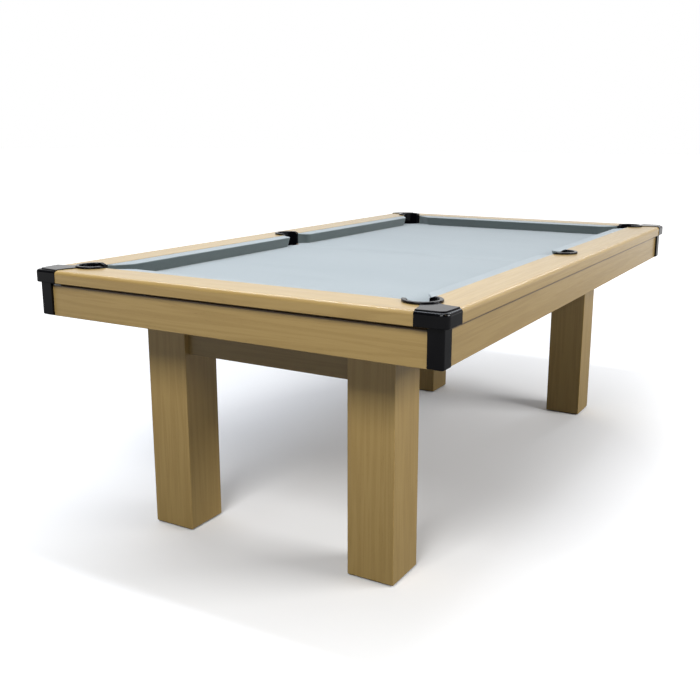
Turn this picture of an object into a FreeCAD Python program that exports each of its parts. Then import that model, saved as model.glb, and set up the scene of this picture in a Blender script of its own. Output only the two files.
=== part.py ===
import FreeCAD, Part
import os
from math import asin, cos, degrees, radians, sin, sqrt

# Seven-foot pool table: oak rails and aprons, black corner mouldings, six drop pockets, square legs.
#
# Millimetres. Origin on the floor under the middle of the table, +X along its length, +Y towards the
# back long side, +Z up. "left" is -X, "right" is +X, "front" is -Y and "back" is +Y.
# The front left corner, the front side and the left end are built, and the others are their mirrors.

# ---- driving dimensions ----
PLAY_LENGTH = 1981.0        # between the cushion noses, 78 in
PLAY_WIDTH = 990.0          # between the cushion noses, 39 in
NOSE_OFFSET = 160.0         # rail's outer face to the cushion nose
RAIL_WIDTH = 115.0          # rail's outer face to the back of the cushion
RAIL_TOP = 817.0
RAIL_ROUNDOVER = 12.0       # radius along the rail's top outer edge
RAIL_EASE = 1.5             # chamfer along its lower outer edge
RAIL_LIP = 3.0              # its outer part is this much thinner, underneath
RAIL_LIP_WIDTH = 45.0
RAIL_CORNER = 18.0          # radius of the rails' outer corners in plan
CLOTH_THICKNESS = 1.0
BED_TOP = 776.0             # top of the bare bed board
BED_THICKNESS = 19.0
BED_INSET = 50.0            # rail's outer face to the edge of the bed board
NOSE_HEIGHT = 36.0          # cushion nose above the cloth

POCKET_RADIUS = 40.0        # bore of the pocket liner
LINER_WALL = 3.0
RIM_WIDTH = 11.0            # liner bore to the rim's outer edge
RIM_HEIGHT = 6.5            # above the rail top
RIM_EDGE = 2.5              # radius of the rim's edges
CORNER_POCKET_INSET = 116.0  # from both outer faces to the pocket's axis
SIDE_POCKET_INSET = 100.0
RIM_REACH = 115.0           # the ends of every rim, from the rail's outer face
RIM_TAPER = 12.0            # length of the slope at each of those ends
RIM_TIP = 1.0               # its height there
EAR_THICKNESS = 2.0         # liner's ears, which cover the rail beside the cushions' ends
EAR_GAP = 0.3
THROAT_DROP = 6.0           # bed's top to the liner's low part across the throat
CUP_FLOOR = 690.0           # underside of a pocket cup
CUP_WALL = 2.5
CUP_BASE = 3.0              # thickness of its floor and its flange
CUP_BEND = 8.0              # radius inside, round its floor
CUP_FLANGE = 60.0           # radius of its flange
CUP_SCREW_INSET = 4.5       # flange's edge to its screws

CORNER_JAW_ROOT = 172.0     # end of a cushion beside a corner pocket, at its back
CORNER_JAW_TIP = 237.0      # and at its nose
SIDE_JAW_ROOT = 46.0        # the same, from the middle of a side pocket
SIDE_JAW_TIP = 66.0
CUSHION_LIFT = 0.3          # clear of the cloth below it
CUSHION_FOOT = 10.0         # the foot's setback from the nose

APRON_TOP = 771.0
APRON_BOTTOM = 680.5
APRON_INSET = 18.0          # rail's outer face to the apron's outer face
APRON_EDGE = 2.0            # radius of its lower outer edge
BOARD = 18.0                # thickness of apron and leg boards

TRIM_PROUD = 2.0            # corner trim outside the rail's outer face
TRIM_ARM = 82.0             # length of its upper arms from the rail's corner
TRIM_LEDGE = 2.0            # thickness of its ledge, let into the rails' underside
TRIM_FLANGE = 16.0          # width of its flange over the rails
TRIM_FLANGE_DEPTH = 2.5
TRIM_CORNER = 20.0          # radius of its corner in plan
TRIM_SHOULDER = 8.0         # radius of its top edge
TRIM_FOOT = 3.0             # radius of its lower edge
POST_INSET = 10.0           # rail's outer face to the post's outer face
POST_ARM = 52.0
POST_BOTTOM = 683.0
POST_CORNER = 6.0
POST_FOOT = 4.0             # radius of the post's lower edge
PLATE_TOP = 820.0           # top of the flat plate at a corner pocket
PLATE_CORNER = 16.0
PLATE_EDGE = 0.8
PLATE_OUTLINE = ((10.5, 10.5), (82, 5), (87, 36), (97, 62), (102, 74), (74, 102), (62, 97), (36, 87), (5, 82))

LEG_SIZE = 144.0
LEG_X = 873.5
LEG_Y = 351.0
LEG_BOTTOM = 4.0
LEG_TOP = 695.0
LEG_EDGE = 2.5
TOP_BLOCK = 60.0            # height of the block in a leg's top
FOOT_PLATE_BOTTOM = 16.0
FOOT_PLATE_TOP = 34.0

BEAM_WIDTH = 45.0
BEAM_X = (-873.5, -300.0, 300.0, 873.5)
BEAM_NAMES = ("left", "middle_left", "middle_right", "right")

STRETCHER_SETBACK = 18.0    # leg's outer face to the stretcher's outer face
STRETCHER_THICKNESS = 22.0
STRETCHER_BOTTOM = 561.0

STUD_RADIUS = 5.0           # M10 levelling stud
STUD_TOP = 66.0
THREAD_CLEARANCE = 0.08
PAD_RADIUS = 28.0
PAD_THICKNESS = 8.0
PAD_EDGE = 2.0
SOCKET_FLOOR = 3.0          # underside of the pad to the floor of the stud's socket
COLLAR_GAP = 0.3            # pad to the stud's collar
COLLAR_TOP = 13.5
COLLAR_FLATS = 17.0
TNUT_FLANGE = 1.5
TNUT_FLANGE_RADIUS = 12.0
TNUT_BARREL_RADIUS = 7.0
TNUT_BARREL_TOP = 30.0

BRACKET_ARM = 45.0
BRACKET_GAUGE = 2.5
BRACKET_WIDTH = 40.0
BRACKET_SCREW = 30.0        # screws from the bracket's bend
LONG_BRACKET_X = (150.0, 420.0, 700.0)
END_BRACKET_Y = 190.0

# radius of a fastener's shank, then the radius and the height of its head
RAIL_BOLT = (4.0, 10.0, 5.0)
LEG_BOLT = (6.0, 12.0, 8.0)
STRETCHER_BOLT = (4.0, 8.0, 5.0)
WOOD_SCREW = (2.0, 4.0, 2.2)
LONG_BOLT_X = (210.0, 520.0, 830.0)
END_BOLT_Y = (-250.0, 0.0, 250.0)
RAIL_BOLT_INSET = 70.0      # from the rail's outer face
RAIL_BOLT_COVER = 14.0      # wood over a rail bolt's tip
LEG_BOLT_SUNK = 10.0        # head's face below the beams' top
LEG_BOLT_GRIP = 45.0        # length in the block
STRETCHER_BOLT_RISES = (25.0, 60.0)  # above the stretcher's lower edge
STRETCHER_BOLT_LENGTH = 70.0
BED_SCREW_GRIP = 12.0       # length in the bed board
APRON_SCREW_LENGTH = 14.0

# ---- sizes that follow ----
HALF_X = PLAY_LENGTH / 2 + NOSE_OFFSET      # rail's outer face at an end
HALF_Y = PLAY_WIDTH / 2 + NOSE_OFFSET
CLOTH_TOP = BED_TOP + CLOTH_THICKNESS
BED_BOTTOM = BED_TOP - BED_THICKNESS
RAIL_BOTTOM = CLOTH_TOP
BEAM_TOP = BED_BOTTOM
BEAM_MIDDLE = (BEAM_TOP + LEG_TOP) / 2      # where the halved joints meet
APRON_BACK = APRON_INSET + BOARD
LINER_RADIUS = POCKET_RADIUS + LINER_WALL
HOLE_RADIUS = LINER_RADIUS + 0.5            # pocket holes in rails and bed
RIM_RADIUS = POCKET_RADIUS + RIM_WIDTH
RIM_TOP = RAIL_TOP + RIM_HEIGHT
LINER_BOTTOM = BED_BOTTOM - 7.0
LIP_BOTTOM = RAIL_BOTTOM + RAIL_LIP
OVERCUT = 1.0               # how far a cutting shape passes the faces that it cuts

ORIGIN = FreeCAD.Vector(0, 0, 0)
X_AXIS = FreeCAD.Vector(1, 0, 0)
Y_AXIS = FreeCAD.Vector(0, 1, 0)
Z_AXIS = FreeCAD.Vector(0, 0, 1)
SIDES = {"front": 1, "back": -1}
ENDS = {"left": 1, "right": -1}
CORNERS = [(end, side) for end in ENDS for side in SIDES]


# ---- helpers ----
def box(x0, x1, y0, y1, z0, z1):
    return Part.makeBox(x1 - x0, y1 - y0, z1 - z0, FreeCAD.Vector(x0, y0, z0))


def cylinder(radius, x, y, z0, z1):
    return Part.makeCylinder(radius, z1 - z0, FreeCAD.Vector(x, y, z0))


def prism(points, z0, z1):
    """Upright prism over a closed outline of (x, y) points."""
    corners = [FreeCAD.Vector(x, y, z0) for x, y in points]
    face = Part.Face(Part.makePolygon(corners + corners[:1]))
    return face.extrude(FreeCAD.Vector(0, 0, z1 - z0))


def hexagon(across_flats, x, y, z0, z1):
    reach = across_flats / sqrt(3)
    turns = [radians(60 * k) for k in range(6)]
    return prism([(x + reach * cos(a), y + reach * sin(a)) for a in turns], z0, z1)


def place(shape, end, side):
    """The front left shape, mirrored to the named end and side."""
    if ENDS[end] < 0:
        shape = shape.mirror(ORIGIN, X_AXIS)
    if SIDES[side] < 0:
        shape = shape.mirror(ORIGIN, Y_AXIS)
    return shape


def from_corner(dx, dy):
    """Point at distances dx and dy inwards from the rails' front left corner."""
    return (-HALF_X + dx, -HALF_Y + dy)


def corner_block(start, reach, z0, z1):
    """Block at the front left corner, between two distances in from both outer faces."""
    x0, y0 = from_corner(start, start)
    x1, y1 = from_corner(reach, reach)
    return box(x0, x1, y0, y1, z0, z1)


def round_edges(shape, radius, chosen):
    """Fillet the edges for which chosen(edge) is true."""
    return shape.makeFillet(radius, [edge for edge in shape.Edges if chosen(edge)])


def save(shape, node):
    shape.exportStep("parts/%s.step" % node)


# ---- pockets ----
def pocket_centres():
    corner = from_corner(CORNER_POCKET_INSET, CORNER_POCKET_INSET)
    side = (0.0, -HALF_Y + SIDE_POCKET_INSET)
    return corner, side


def pocket_holes(radius, z0, z1):
    """Upright cylinders through all six pockets."""
    (corner_x, corner_y), (side_x, side_y) = pocket_centres()
    spots = [(sx * corner_x, sy * corner_y) for sx in (1, -1) for sy in (1, -1)]
    spots += [(side_x, side_y), (side_x, -side_y)]
    return [cylinder(radius, x, y, z0, z1) for x, y in spots]


def rim_section(x, y):
    """Closed section of the liner wall and its rim, in the upright plane towards +X from the axis."""
    bore, outer, rim = POCKET_RADIUS, LINER_RADIUS, RIM_RADIUS
    low_arc = RIM_TOP - RIM_EDGE

    def at(r, z):
        return FreeCAD.Vector(x + r, y, z)

    def edge_arc(r, turns):
        spots = [at(r + RIM_EDGE * cos(radians(a)), low_arc + RIM_EDGE * sin(radians(a))) for a in turns]
        return Part.Arc(*spots).toShape()

    edges = [
        Part.makeLine(at(bore, LINER_BOTTOM), at(outer, LINER_BOTTOM)),
        Part.makeLine(at(outer, LINER_BOTTOM), at(outer, RAIL_TOP)),
        Part.makeLine(at(outer, RAIL_TOP), at(rim, RAIL_TOP)),
        Part.makeLine(at(rim, RAIL_TOP), at(rim, low_arc)),
        edge_arc(rim - RIM_EDGE, (0, 45, 90)),
        Part.makeLine(at(rim - RIM_EDGE, RIM_TOP), at(bore + RIM_EDGE, RIM_TOP)),
        edge_arc(bore + RIM_EDGE, (90, 135, 180)),
        Part.makeLine(at(bore, low_arc), at(bore, LINER_BOTTOM)),
    ]
    return Part.Face(Part.Wire(edges))


def liner(centre, open_half_angle, facing):
    """Liner and rim, C-shaped above the bed and open towards the direction `facing` in degrees."""
    x, y = centre
    axis = FreeCAD.Vector(x, y, 0)
    section = rim_section(x, y)
    section.rotate(axis, Z_AXIS, facing + open_half_angle)
    upper = section.revolve(axis, Z_AXIS, 360 - 2 * open_half_angle)
    throat = cylinder(LINER_RADIUS, x, y, LINER_BOTTOM, BED_TOP - THROAT_DROP)
    throat = throat.cut(cylinder(POCKET_RADIUS, x, y, LINER_BOTTOM - OVERCUT, BED_TOP))
    return upper.fuse(throat).removeSplitter()


def opening_angle(inset):
    """Angle at the axis between a rim's end and the line through the axis along the rail."""
    return degrees(asin((RIM_REACH - inset) / RIM_RADIUS))


def end_slope(at, extent):
    """Wedge that slopes a rim's end down towards the cushion; at(v, z) gives the point in space."""
    high, start, end = RIM_TOP + OVERCUT, RIM_REACH - RIM_TAPER, RIM_REACH + OVERCUT
    spots = [at(start, RIM_TOP), at(start, high), at(end, high), at(end, RAIL_TOP + RIM_TIP)]
    return Part.Face(Part.makePolygon(spots + spots[:1])).extrude(extent)


def ear(place_box, inner, neck_start, root):
    """Ear of a liner along the rail's inner face; place_box(a0, a1, v0, v1) gives the box in space."""
    outer = RAIL_WIDTH + EAR_THICKNESS
    neck = place_box(inner, inner + LINER_WALL, neck_start, outer)
    return neck.fuse(place_box(inner, root - EAR_GAP, RAIL_WIDTH, outer))


def corner_ears(centre):
    """The corner liner's two ears, one along each rail."""
    x, y = centre
    low = CLOTH_TOP + CUSHION_LIFT

    def along_front(a0, a1, v0, v1):
        return box(x + a0, x + a1, -HALF_Y + v0, -HALF_Y + v1, low, RAIL_TOP)

    def along_left(a0, a1, v0, v1):
        return box(-HALF_X + v0, -HALF_X + v1, y + a0, y + a1, low, RAIL_TOP)

    root = CORNER_JAW_ROOT - CORNER_POCKET_INSET
    spots = (along_front, along_left)
    return [ear(spot, POCKET_RADIUS, RAIL_WIDTH - 2.0, root) for spot in spots]


def side_ears():
    """The side liner's two ears."""
    low = CLOTH_TOP + CUSHION_LIFT

    def to_right(a0, a1, v0, v1):
        return box(a0, a1, -HALF_Y + v0, -HALF_Y + v1, low, RAIL_TOP)

    one = ear(to_right, POCKET_RADIUS - 2.5, RAIL_WIDTH - 4.0, SIDE_JAW_ROOT)
    return [one, one.mirror(ORIGIN, X_AXIS)]


def corner_pocket():
    """Liner, rim and ears, with the flat plate that covers the rails' corner."""
    centre = pocket_centres()[0]
    x, y = centre
    extent = RIM_RADIUS + OVERCUT
    corners = [from_corner(dx, dy) for dx, dy in PLATE_OUTLINE]
    plate = prism(corners, RAIL_TOP, PLATE_TOP)
    sharp_x, sharp_y = corners[0]
    plate = round_edges(plate, PLATE_CORNER, lambda e: near_upright(e, sharp_x, sharp_y))
    plate = round_edges(plate, PLATE_EDGE, lambda e: lies_flat(e, PLATE_TOP))
    bore = cylinder(POCKET_RADIUS, centre[0], centre[1], RAIL_TOP - OVERCUT, PLATE_TOP + OVERCUT)
    slopes = [end_slope(lambda v, z: FreeCAD.Vector(x, -HALF_Y + v, z), X_AXIS * extent),
              end_slope(lambda v, z: FreeCAD.Vector(-HALF_X + v, y, z), Y_AXIS * extent)]
    shell = liner(centre, 45 - opening_angle(CORNER_POCKET_INSET), 45.0).cut(slopes)
    return shell.fuse([plate.cut(bore)] + corner_ears(centre)).removeSplitter()


def side_pocket():
    """Liner, rim and ears."""
    centre = pocket_centres()[1]
    extent = RIM_RADIUS + OVERCUT
    slope = end_slope(lambda v, z: FreeCAD.Vector(-extent, -HALF_Y + v, z), X_AXIS * (2 * extent))
    shell = liner(centre, 90 - opening_angle(SIDE_POCKET_INSET), 90.0).cut(slope)
    return shell.fuse(side_ears()).removeSplitter()


def pocket_cup(centre):
    """Flanged cup under the bed, which catches the balls."""
    x, y = centre
    inner = LINER_RADIUS + 0.5
    floor = CUP_FLOOR + CUP_BASE
    body = cylinder(inner + CUP_WALL, x, y, CUP_FLOOR, BED_BOTTOM)
    body = round_edges(body, CUP_BEND + 2.0, lambda e: lies_flat(e, CUP_FLOOR))
    body = body.fuse(cylinder(CUP_FLANGE, x, y, BED_BOTTOM - CUP_BASE, BED_BOTTOM))
    hollow = cylinder(inner, x, y, floor, BED_BOTTOM)
    hollow = round_edges(hollow, CUP_BEND, lambda e: lies_flat(e, floor))
    return body.cut(hollow)


def near_upright(edge, x, y):
    """True for the vertical edge at (x, y)."""
    middle = edge.CenterOfMass
    upright = edge.BoundBox.ZLength > 1.0
    return upright and abs(middle.x - x) < 0.01 and abs(middle.y - y) < 0.01


def lies_flat(edge, z):
    """True for an edge that lies in the level plane z."""
    return edge.BoundBox.ZLength < 0.001 and abs(edge.BoundBox.ZMin - z) < 0.001


# ---- rails and cushions ----
def rail_outline():
    """The rail's section as (distance from the outer face, height): its straight run, and its top arc."""
    r = RAIL_ROUNDOVER
    lean = r * cos(radians(45))
    straight = [(0, RAIL_TOP - r), (0, LIP_BOTTOM + RAIL_EASE), (RAIL_EASE, LIP_BOTTOM),
                (RAIL_LIP_WIDTH, LIP_BOTTOM), (RAIL_LIP_WIDTH, RAIL_BOTTOM), (RAIL_WIDTH, RAIL_BOTTOM),
                (RAIL_WIDTH, RAIL_TOP), (r, RAIL_TOP)]
    arc = [(r, RAIL_TOP), (r - lean, RAIL_TOP - r + lean), (0, RAIL_TOP - r)]
    return straight, arc


def rail_bar(half_length, along_x):
    """Rail board with square ends, along the front (along_x) or along the left end."""

    def at(spot):
        u, z = spot
        if along_x:
            return FreeCAD.Vector(-half_length, -HALF_Y + u, z)
        return FreeCAD.Vector(-HALF_X + u, -half_length, z)

    straight, arc = rail_outline()
    edges = [Part.makeLine(at(a), at(b)) for a, b in zip(straight, straight[1:])]
    edges.append(Part.Arc(*[at(spot) for spot in arc]).toShape())
    direction = X_AXIS if along_x else Y_AXIS
    return Part.Face(Part.Wire(edges)).extrude(direction * (2 * half_length))


def mitre_keep(side):
    """Prism that holds the front board (side True) or the left board (side False) of the mitred frame."""
    deep = 400.0
    near = from_corner(0, 0)
    inner = from_corner(deep, deep)
    if side:
        points = [near, (-near[0], near[1]), (-inner[0], inner[1]), inner]
    else:
        points = [near, inner, (inner[0], -inner[1]), (near[0], -near[1])]
    return prism(points, RAIL_BOTTOM - OVERCUT, RAIL_TOP + OVERCUT)


def rounded_frame():
    """Block with the rails' outer outline and its rounded corners."""
    block = box(-HALF_X, HALF_X, -HALF_Y, HALF_Y, RAIL_BOTTOM - OVERCUT, RAIL_TOP + OVERCUT)
    return round_edges(block, RAIL_CORNER, lambda e: e.BoundBox.ZLength > 1.0)


def rail(along_x):
    bar = rail_bar(HALF_X, True) if along_x else rail_bar(HALF_Y, False)
    bar = bar.common(mitre_keep(along_x)).common(rounded_frame())
    over = corner_band(TRIM_FLANGE, TRIM_ARM, RAIL_TOP - TRIM_FLANGE_DEPTH, RAIL_TOP + OVERCUT)
    under = corner_band(TRIM_FLANGE, TRIM_ARM, LIP_BOTTOM - OVERCUT, LIP_BOTTOM + TRIM_LEDGE)
    rebates = [place(rebate, end, side) for rebate in (over, under) for end, side in CORNERS]
    return bar.cut(rebates + pocket_holes(HOLE_RADIUS, RAIL_BOTTOM - OVERCUT, RAIL_TOP + OVERCUT))


def cushion_section(at):
    """Closed face of the rubber cushion's section; at(u, z) gives the point in space."""
    nose = CLOTH_TOP + NOSE_HEIGHT
    low = CLOTH_TOP + CUSHION_LIFT
    back, tip, foot = RAIL_WIDTH, NOSE_OFFSET, NOSE_OFFSET - CUSHION_FOOT
    points = [(back, RAIL_TOP - 0.5), (tip - 2.5, nose + 1.5), (tip, nose - 1.0), (foot, low), (back, low)]
    spots = [at(u, z) for u, z in points]
    return Part.Face(Part.makePolygon(spots + spots[:1]))


def cushion_long():
    """Front cushion between the left corner pocket and the side pocket."""
    section = cushion_section(lambda u, z: FreeCAD.Vector(-HALF_X, -HALF_Y + u, z))
    bar = section.extrude(X_AXIS * HALF_X)
    back, tip = -HALF_Y + RAIL_WIDTH, -HALF_Y + NOSE_OFFSET
    outline = [(-HALF_X + CORNER_JAW_ROOT, back), (-SIDE_JAW_ROOT, back), (-SIDE_JAW_TIP, tip),
               (-HALF_X + CORNER_JAW_TIP, tip)]
    return bar.common(prism(outline, BED_TOP, RAIL_TOP))


def cushion_end():
    """Left end cushion between its two corner pockets."""
    section = cushion_section(lambda u, z: FreeCAD.Vector(-HALF_X + u, -HALF_Y, z))
    bar = section.extrude(Y_AXIS * (2 * HALF_Y))
    back, tip = -HALF_X + RAIL_WIDTH, -HALF_X + NOSE_OFFSET
    root, end = HALF_Y - CORNER_JAW_ROOT, HALF_Y - CORNER_JAW_TIP
    outline = [(back, -root), (tip, -end), (tip, end), (back, root)]
    return bar.common(prism(outline, BED_TOP, RAIL_TOP))


# ---- corner trim ----
def corner_band(width, reach, z0, z1):
    """L-shaped region of the front left corner within `width` of an outer face and `reach` of the corner."""
    whole = corner_block(-TRIM_PROUD - OVERCUT, reach, z0, z1)
    return whole.cut(corner_block(width, reach + OVERCUT, z0 - OVERCUT, z1 + OVERCUT))


def corner_cap():
    """Solid block with the outer surface of the trim's upper part."""
    x, y = from_corner(-TRIM_PROUD, -TRIM_PROUD)
    cap = corner_block(-TRIM_PROUD, TRIM_ARM, LIP_BOTTOM, RAIL_TOP)
    cap = round_edges(cap, TRIM_CORNER, lambda e: near_upright(e, x, y))

    def outer(edge):
        middle = edge.CenterOfMass
        return middle.x < x + 8 or middle.y < y + 8

    cap = round_edges(cap, TRIM_SHOULDER, lambda e: lies_flat(e, RAIL_TOP) and outer(e))
    return round_edges(cap, TRIM_FOOT, lambda e: lies_flat(e, LIP_BOTTOM) and outer(e))


def corner_post():
    """Solid block with the outer surface of the trim's lower part."""
    x, y = from_corner(POST_INSET, POST_INSET)
    post = corner_block(POST_INSET, POST_ARM, POST_BOTTOM, LIP_BOTTOM)
    post = round_edges(post, POST_CORNER, lambda e: near_upright(e, x, y))

    def outer(edge):
        middle = edge.CenterOfMass
        return middle.x < x + 3 or middle.y < y + 3

    return round_edges(post, POST_FOOT, lambda e: lies_flat(e, POST_BOTTOM) and outer(e))


def corner_trim(rails):
    """T-shaped moulding: a cap round the rails' corner over a narrower post round the aprons' corner."""
    cap = corner_cap().common(corner_band(TRIM_FLANGE, TRIM_ARM, LIP_BOTTOM, RAIL_TOP))
    post = corner_post().common(corner_band(APRON_INSET, POST_ARM, POST_BOTTOM, LIP_BOTTOM))
    return cap.fuse(post).cut(rails).removeSplitter()


# ---- bed, aprons and frame ----
def bed_board():
    x, y = HALF_X - BED_INSET, HALF_Y - BED_INSET
    board = box(-x, x, -y, y, BED_BOTTOM, BED_TOP)
    return board.cut(pocket_holes(HOLE_RADIUS, BED_BOTTOM - OVERCUT, BED_TOP + OVERCUT))


def bed_cloth():
    x, y = HALF_X - BED_INSET, HALF_Y - BED_INSET
    sheet = box(-x, x, -y, y, BED_TOP, CLOTH_TOP)
    return sheet.cut(pocket_holes(HOLE_RADIUS, BED_TOP - OVERCUT, CLOTH_TOP + OVERCUT))


def apron_long():
    """Front apron, between the two end aprons."""
    x = HALF_X - APRON_BACK
    y = -HALF_Y + APRON_INSET
    board = box(-x, x, y, y + BOARD, APRON_BOTTOM, APRON_TOP)
    return round_edges(board, APRON_EDGE, lambda e: lies_flat(e, APRON_BOTTOM) and e.CenterOfMass.y < y + 1)


def apron_end():
    """Left apron, over the ends of the long aprons."""
    x = -HALF_X + APRON_INSET
    y = HALF_Y - APRON_INSET
    board = box(x, x + BOARD, -y, y, APRON_BOTTOM, APRON_TOP)
    return round_edges(board, APRON_EDGE, lambda e: lies_flat(e, APRON_BOTTOM) and e.CenterOfMass.x < x + 1)


def side_beam():
    """Front lengthwise beam, halved over its upper side where the cross beams pass."""
    x = HALF_X - BED_INSET
    w = BEAM_WIDTH / 2
    beam = box(-x, x, -LEG_Y - w, -LEG_Y + w, LEG_TOP, BEAM_TOP)
    notches = [box(bx - w, bx + w, -LEG_Y - w, -LEG_Y + w, BEAM_MIDDLE, BEAM_TOP) for bx in BEAM_X]
    return beam.cut(notches)


def cross_beam(x):
    """Beam across the table between the long aprons, halved over its lower side."""
    y = HALF_Y - APRON_BACK
    w = BEAM_WIDTH / 2
    beam = box(x - w, x + w, -y, y, LEG_TOP, BEAM_TOP)
    notches = [box(x - w, x + w, s * LEG_Y - w, s * LEG_Y + w, LEG_TOP, BEAM_MIDDLE) for s in (1, -1)]
    return beam.cut(notches)


# ---- legs ----
def leg():
    """Front left leg: a square tube of mitred boards."""
    h = LEG_SIZE / 2
    outside = box(-LEG_X - h, -LEG_X + h, -LEG_Y - h, -LEG_Y + h, LEG_BOTTOM, LEG_TOP)
    outside = round_edges(outside, LEG_EDGE, lambda e: e.BoundBox.ZLength > 1.0 or lies_flat(e, LEG_BOTTOM))
    c = h - BOARD
    return outside.cut(box(-LEG_X - c, -LEG_X + c, -LEG_Y - c, -LEG_Y + c, 0, LEG_TOP + OVERCUT))


def leg_inside(z0, z1):
    """Block that fills the front left leg's hollow between two heights."""
    c = LEG_SIZE / 2 - BOARD
    return box(-LEG_X - c, -LEG_X + c, -LEG_Y - c, -LEG_Y + c, z0, z1)


def end_stretcher():
    """Board between the two left legs."""
    x = -LEG_X - LEG_SIZE / 2 + STRETCHER_SETBACK
    y = LEG_Y - LEG_SIZE / 2
    return box(x, x + STRETCHER_THICKNESS, -y, y, STRETCHER_BOTTOM, LEG_TOP)


def leveller_tnut():
    x, y = -LEG_X, -LEG_Y
    bottom = FOOT_PLATE_BOTTOM - TNUT_FLANGE
    body = cylinder(TNUT_FLANGE_RADIUS, x, y, bottom, FOOT_PLATE_BOTTOM)
    body = body.fuse(cylinder(TNUT_BARREL_RADIUS, x, y, FOOT_PLATE_BOTTOM, TNUT_BARREL_TOP))
    return body.cut(cylinder(STUD_RADIUS + THREAD_CLEARANCE, x, y, bottom - OVERCUT, FOOT_PLATE_TOP))


def leveller_pad():
    """Round pad under the leg, with a socket for the stud's end."""
    pad = cylinder(PAD_RADIUS, -LEG_X, -LEG_Y, 0, PAD_THICKNESS)
    pad = round_edges(pad, PAD_EDGE, lambda e: lies_flat(e, PAD_THICKNESS) and e.Length > 1.0)
    return pad.cut(cylinder(STUD_RADIUS, -LEG_X, -LEG_Y, SOCKET_FLOOR, PAD_THICKNESS + OVERCUT))


def leveller_stud():
    """Threaded stud with a hexagonal collar for the spanner."""
    x, y = -LEG_X, -LEG_Y
    collar_bottom = PAD_THICKNESS + COLLAR_GAP
    foot = cylinder(STUD_RADIUS - THREAD_CLEARANCE, x, y, SOCKET_FLOOR + THREAD_CLEARANCE, collar_bottom)
    collar = hexagon(COLLAR_FLATS, x, y, collar_bottom, COLLAR_TOP)
    thread = cylinder(STUD_RADIUS, x, y, COLLAR_TOP, STUD_TOP)
    return foot.fuse([collar, thread])


# ---- fasteners ----
def bolt(x, y, head_z, tip_z, size):
    """Upright bolt whose head is on the far side of head_z from tip_z."""
    radius, head_radius, head_height = size
    up = tip_z > head_z
    low, high = (head_z, tip_z) if up else (tip_z, head_z)
    head_low = head_z - head_height if up else head_z
    shank = cylinder(radius, x, y, low, high)
    head = cylinder(head_radius, x, y, head_low, head_low + head_height)
    return shank.fuse(head).removeSplitter()


def lying_bolt(x, y, z, reach, size):
    """Bolt along Y with its head face at y, and its tip at y + reach."""
    radius, head_radius, head_height = size
    toward = Y_AXIS if reach > 0 else Y_AXIS * -1
    start = FreeCAD.Vector(x, y, z)
    shank = Part.makeCylinder(radius, abs(reach), start, toward)
    head = Part.makeCylinder(head_radius, head_height, start, toward * -1)
    return shank.fuse(head).removeSplitter()


def rail_bolts():
    """Bolts that pull the rails down onto the bed from below."""
    x, y = HALF_X - RAIL_BOLT_INSET, HALF_Y - RAIL_BOLT_INSET
    spots = [(s * at, t * y) for at in LONG_BOLT_X for s in (1, -1) for t in (1, -1)]
    spots += [(s * x, at) for at in END_BOLT_Y for s in (1, -1)]
    return [bolt(x, y, BED_BOTTOM, RAIL_TOP - RAIL_BOLT_COVER, RAIL_BOLT) for x, y in spots]


def leg_bolts():
    """One bolt through each crossing of beams into the block in the leg."""
    spots = [(s * LEG_X, t * LEG_Y) for s in (1, -1) for t in (1, -1)]
    return [bolt(x, y, BEAM_TOP - LEG_BOLT_SUNK, LEG_TOP - LEG_BOLT_GRIP, LEG_BOLT) for x, y in spots]


def stretcher_bolts():
    """Bolts from inside the legs into the ends of the stretchers."""
    x = LEG_X + LEG_SIZE / 2 - STRETCHER_SETBACK - STRETCHER_THICKNESS / 2
    y = LEG_Y - LEG_SIZE / 2 + BOARD
    found = []
    for rise in STRETCHER_BOLT_RISES:
        for s in (1, -1):
            for t in (1, -1):
                spot = (s * x, t * y, STRETCHER_BOTTOM + rise)
                found.append(lying_bolt(*spot, -t * STRETCHER_BOLT_LENGTH, STRETCHER_BOLT))
    return found


def bracket_spots():
    """(x, y, along) of every apron bracket, at the apron's inner face."""
    long_y = HALF_Y - APRON_BACK
    end_x = HALF_X - APRON_BACK
    spots = [(s * x, t * long_y, "x") for x in LONG_BRACKET_X for s in (1, -1) for t in (1, -1)]
    return spots + [(s * end_x, y, "y") for y in (-END_BRACKET_Y, END_BRACKET_Y) for s in (1, -1)]


def span(start, reach):
    """The interval between start and start + reach, in rising order."""
    return sorted((start, start + reach))


def bracket(x, y, along):
    """Steel angle under the bed board, against the apron's inner face."""
    w = BRACKET_WIDTH / 2
    low = BED_BOTTOM - BRACKET_ARM
    flat_low = BED_BOTTOM - BRACKET_GAUGE
    if along == "x":
        s = -1 if y > 0 else 1
        upright = box(x - w, x + w, *span(y, s * BRACKET_GAUGE), low, BED_BOTTOM)
        flat = box(x - w, x + w, *span(y, s * BRACKET_ARM), flat_low, BED_BOTTOM)
    else:
        s = -1 if x > 0 else 1
        upright = box(*span(x, s * BRACKET_GAUGE), y - w, y + w, low, BED_BOTTOM)
        flat = box(*span(x, s * BRACKET_ARM), y - w, y + w, flat_low, BED_BOTTOM)
    return upright.fuse(flat).removeSplitter()


def bed_screw(x, y, z):
    """Pan-head wood screw upwards into the bed board, with its head below z."""
    return bolt(x, y, z, BED_BOTTOM + BED_SCREW_GRIP, WOOD_SCREW)


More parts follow.
